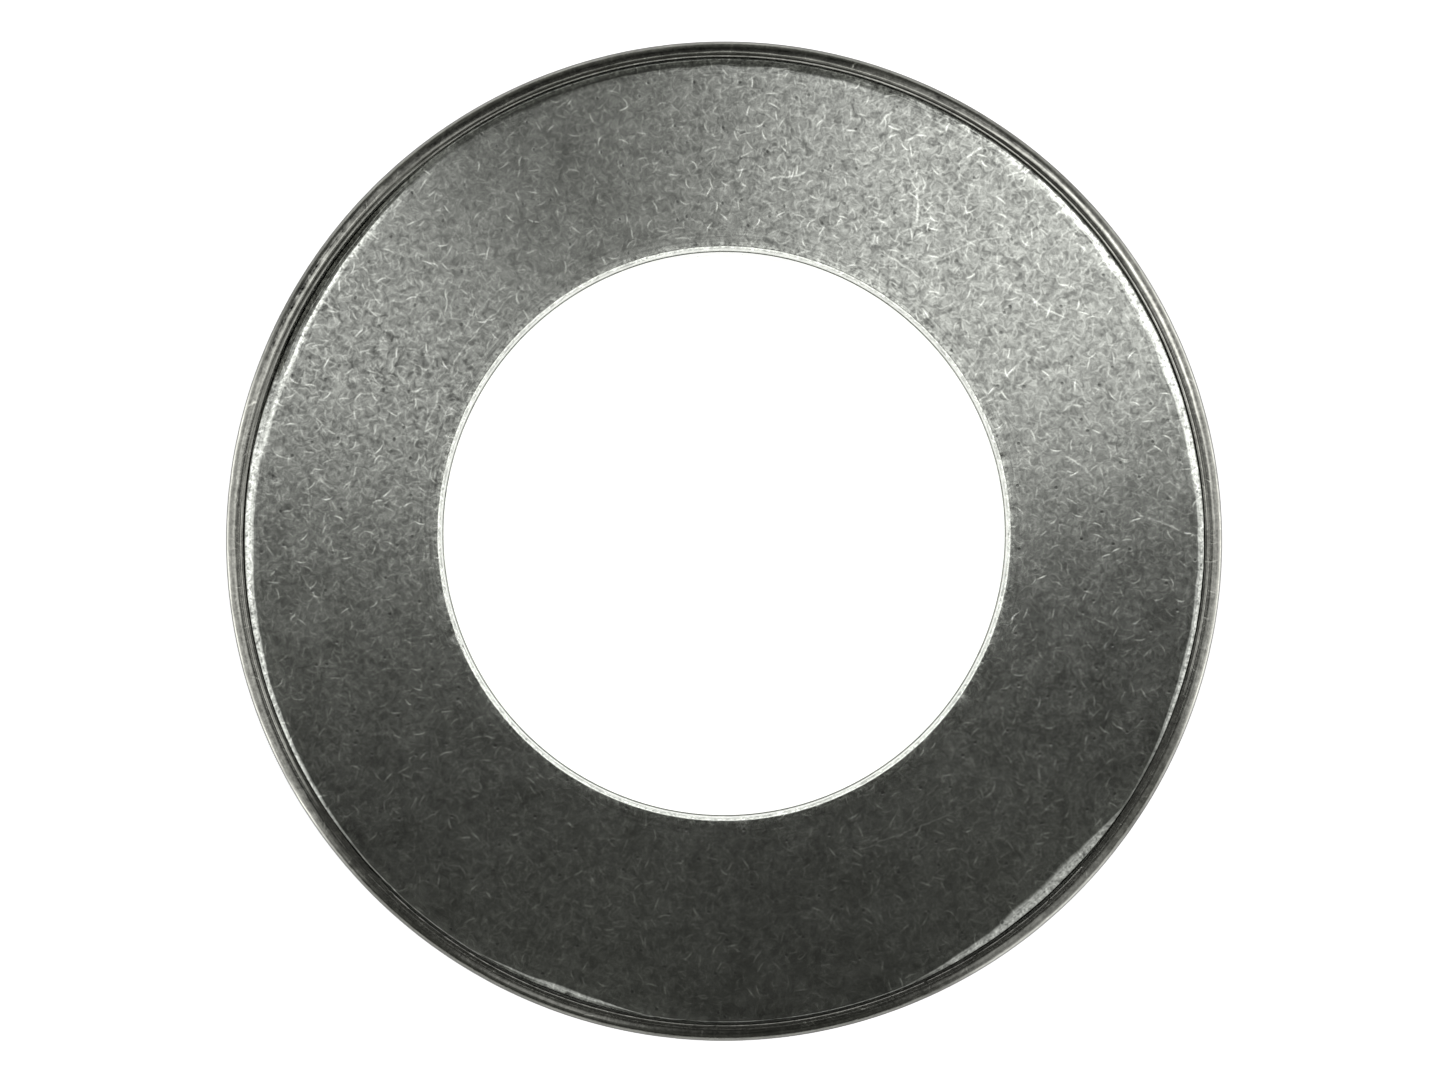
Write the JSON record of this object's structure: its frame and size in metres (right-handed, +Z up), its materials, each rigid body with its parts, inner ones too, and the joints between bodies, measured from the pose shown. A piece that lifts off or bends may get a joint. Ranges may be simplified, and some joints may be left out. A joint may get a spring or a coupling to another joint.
{
  "type": "thrust ball bearing",
  "caption": "Flat round thrust ball bearing with a thin steel band round both washers, a wide bore and a cage of balls inside.",
  "frame": {"origin": "on the bore axis at the bottom seat face of the housing washer", "axes": "+Z up along the bore axis, from the housing washer to the shaft washer; +X through the centre of ball_01"},
  "size_m": [0.062, 0.062, 0.012],
  "materials": {
    "washer_steel": "dull tumbled and ground steel with fine random scratches",
    "band_steel": "rolled sheet steel with fine rings along the lip",
    "cage_steel": "pressed sheet steel",
    "ball_steel": "polished hardened steel"
  },
  "bodies": {
    "housing": {"housing_washer": "washer_steel", "outer_band": "band_steel"},
    "shaft_side": {"shaft_washer": "washer_steel"},
    "cage": {"ball_cage": "cage_steel"},
    "ball_01": {"ball_01": "ball_steel"},
    "ball_02": {"ball_02": "ball_steel"},
    "ball_03": {"ball_03": "ball_steel"},
    "ball_04": {"ball_04": "ball_steel"},
    "ball_05": {"ball_05": "ball_steel"},
    "ball_06": {"ball_06": "ball_steel"},
    "ball_07": {"ball_07": "ball_steel"},
    "ball_08": {"ball_08": "ball_steel"},
    "ball_09": {"ball_09": "ball_steel"},
    "ball_10": {"ball_10": "ball_steel"},
    "ball_11": {"ball_11": "ball_steel"},
    "ball_12": {"ball_12": "ball_steel"},
    "ball_13": {"ball_13": "ball_steel"},
    "ball_14": {"ball_14": "ball_steel"},
    "ball_15": {"ball_15": "ball_steel"},
    "ball_16": {"ball_16": "ball_steel"},
    "ball_17": {"ball_17": "ball_steel"},
    "ball_18": {"ball_18": "ball_steel"},
    "ball_19": {"ball_19": "ball_steel"},
    "ball_20": {"ball_20": "ball_steel"}
  },
  "joints": [
    {"name": "shaft_washer_spin", "type": "hinge", "parent": "housing", "child": "shaft_side", "pos_m": [0, 0, 0.01], "axis": [0, 0, 1], "continuous": true},
    {"name": "cage_spin", "type": "hinge", "parent": "housing", "child": "cage", "pos_m": [0, 0, 0.006], "axis": [0, 0, 1], "continuous": true},
    {"name": "ball_01_spin", "type": "hinge", "parent": "cage", "child": "ball_01", "pos_m": [0.02381, 0, 0.006], "axis": [1, 0, 0], "continuous": true},
    {"name": "ball_02_spin", "type": "hinge", "parent": "cage", "child": "ball_02", "pos_m": [0.02265, 0.00736, 0.006], "axis": [0.9511, 0.309, 0], "continuous": true},
    {"name": "ball_03_spin", "type": "hinge", "parent": "cage", "child": "ball_03", "pos_m": [0.01926, 0.014, 0.006], "axis": [0.809, 0.5878, 0], "continuous": true},
    {"name": "ball_04_spin", "type": "hinge", "parent": "cage", "child": "ball_04", "pos_m": [0.014, 0.01926, 0.006], "axis": [0.5878, 0.809, 0], "continuous": true},
    {"name": "ball_05_spin", "type": "hinge", "parent": "cage", "child": "ball_05", "pos_m": [0.00736, 0.02265, 0.006], "axis": [0.309, 0.9511, 0], "continuous": true},
    {"name": "ball_06_spin", "type": "hinge", "parent": "cage", "child": "ball_06", "pos_m": [0, 0.02381, 0.006], "axis": [0, 1, 0], "continuous": true},
    {"name": "ball_07_spin", "type": "hinge", "parent": "cage", "child": "ball_07", "pos_m": [-0.00736, 0.02265, 0.006], "axis": [-0.309, 0.9511, 0], "continuous": true},
    {"name": "ball_08_spin", "type": "hinge", "parent": "cage", "child": "ball_08", "pos_m": [-0.014, 0.01926, 0.006], "axis": [-0.5878, 0.809, 0], "continuous": true},
    {"name": "ball_09_spin", "type": "hinge", "parent": "cage", "child": "ball_09", "pos_m": [-0.01926, 0.014, 0.006], "axis": [-0.809, 0.5878, 0], "continuous": true},
    {"name": "ball_10_spin", "type": "hinge", "parent": "cage", "child": "ball_10", "pos_m": [-0.02265, 0.00736, 0.006], "axis": [-0.9511, 0.309, 0], "continuous": true},
    {"name": "ball_11_spin", "type": "hinge", "parent": "cage", "child": "ball_11", "pos_m": [-0.02381, 0, 0.006], "axis": [-1, 0, 0], "continuous": true},
    {"name": "ball_12_spin", "type": "hinge", "parent": "cage", "child": "ball_12", "pos_m": [-0.02265, -0.00736, 0.006], "axis": [-0.9511, -0.309, 0], "continuous": true},
    {"name": "ball_13_spin", "type": "hinge", "parent": "cage", "child": "ball_13", "pos_m": [-0.01926, -0.014, 0.006], "axis": [-0.809, -0.5878, 0], "continuous": true},
    {"name": "ball_14_spin", "type": "hinge", "parent": "cage", "child": "ball_14", "pos_m": [-0.014, -0.01926, 0.006], "axis": [-0.5878, -0.809, 0], "continuous": true},
    {"name": "ball_15_spin", "type": "hinge", "parent": "cage", "child": "ball_15", "pos_m": [-0.00736, -0.02265, 0.006], "axis": [-0.309, -0.9511, 0], "continuous": true},
    {"name": "ball_16_spin", "type": "hinge", "parent": "cage", "child": "ball_16", "pos_m": [0, -0.02381, 0.006], "axis": [0, -1, 0], "continuous": true},
    {"name": "ball_17_spin", "type": "hinge", "parent": "cage", "child": "ball_17", "pos_m": [0.00736, -0.02265, 0.006], "axis": [0.309, -0.9511, 0], "continuous": true},
    {"name": "ball_18_spin", "type": "hinge", "parent": "cage", "child": "ball_18", "pos_m": [0.014, -0.01926, 0.006], "axis": [0.5878, -0.809, 0], "continuous": true},
    {"name": "ball_19_spin", "type": "hinge", "parent": "cage", "child": "ball_19", "pos_m": [0.01926, -0.014, 0.006], "axis": [0.809, -0.5878, 0], "continuous": true},
    {"name": "ball_20_spin", "type": "hinge", "parent": "cage", "child": "ball_20", "pos_m": [0.02265, -0.00736, 0.006], "axis": [0.9511, -0.309, 0], "continuous": true}
  ],
  "couplings": [
    {"joint": "cage_spin", "follows": "shaft_washer_spin", "ratio": 0.5},
    {"joint": "ball_01_spin", "follows": "shaft_washer_spin", "ratio": -3.75},
    {"joint": "ball_02_spin", "follows": "shaft_washer_spin", "ratio": -3.75},
    {"joint": "ball_03_spin", "follows": "shaft_washer_spin", "ratio": -3.75},
    {"joint": "ball_04_spin", "follows": "shaft_washer_spin", "ratio": -3.75},
    {"joint": "ball_05_spin", "follows": "shaft_washer_spin", "ratio": -3.75},
    {"joint": "ball_06_spin", "follows": "shaft_washer_spin", "ratio": -3.75},
    {"joint": "ball_07_spin", "follows": "shaft_washer_spin", "ratio": -3.75},
    {"joint": "ball_08_spin", "follows": "shaft_washer_spin", "ratio": -3.75},
    {"joint": "ball_09_spin", "follows": "shaft_washer_spin", "ratio": -3.75},
    {"joint": "ball_10_spin", "follows": "shaft_washer_spin", "ratio": -3.75},
    {"joint": "ball_11_spin", "follows": "shaft_washer_spin", "ratio": -3.75},
    {"joint": "ball_12_spin", "follows": "shaft_washer_spin", "ratio": -3.75},
    {"joint": "ball_13_spin", "follows": "shaft_washer_spin", "ratio": -3.75},
    {"joint": "ball_14_spin", "follows": "shaft_washer_spin", "ratio": -3.75},
    {"joint": "ball_15_spin", "follows": "shaft_washer_spin", "ratio": -3.75},
    {"joint": "ball_16_spin", "follows": "shaft_washer_spin", "ratio": -3.75},
    {"joint": "ball_17_spin", "follows": "shaft_washer_spin", "ratio": -3.75},
    {"joint": "ball_18_spin", "follows": "shaft_washer_spin", "ratio": -3.75},
    {"joint": "ball_19_spin", "follows": "shaft_washer_spin", "ratio": -3.75},
    {"joint": "ball_20_spin", "follows": "shaft_washer_spin", "ratio": -3.75}
  ]
}
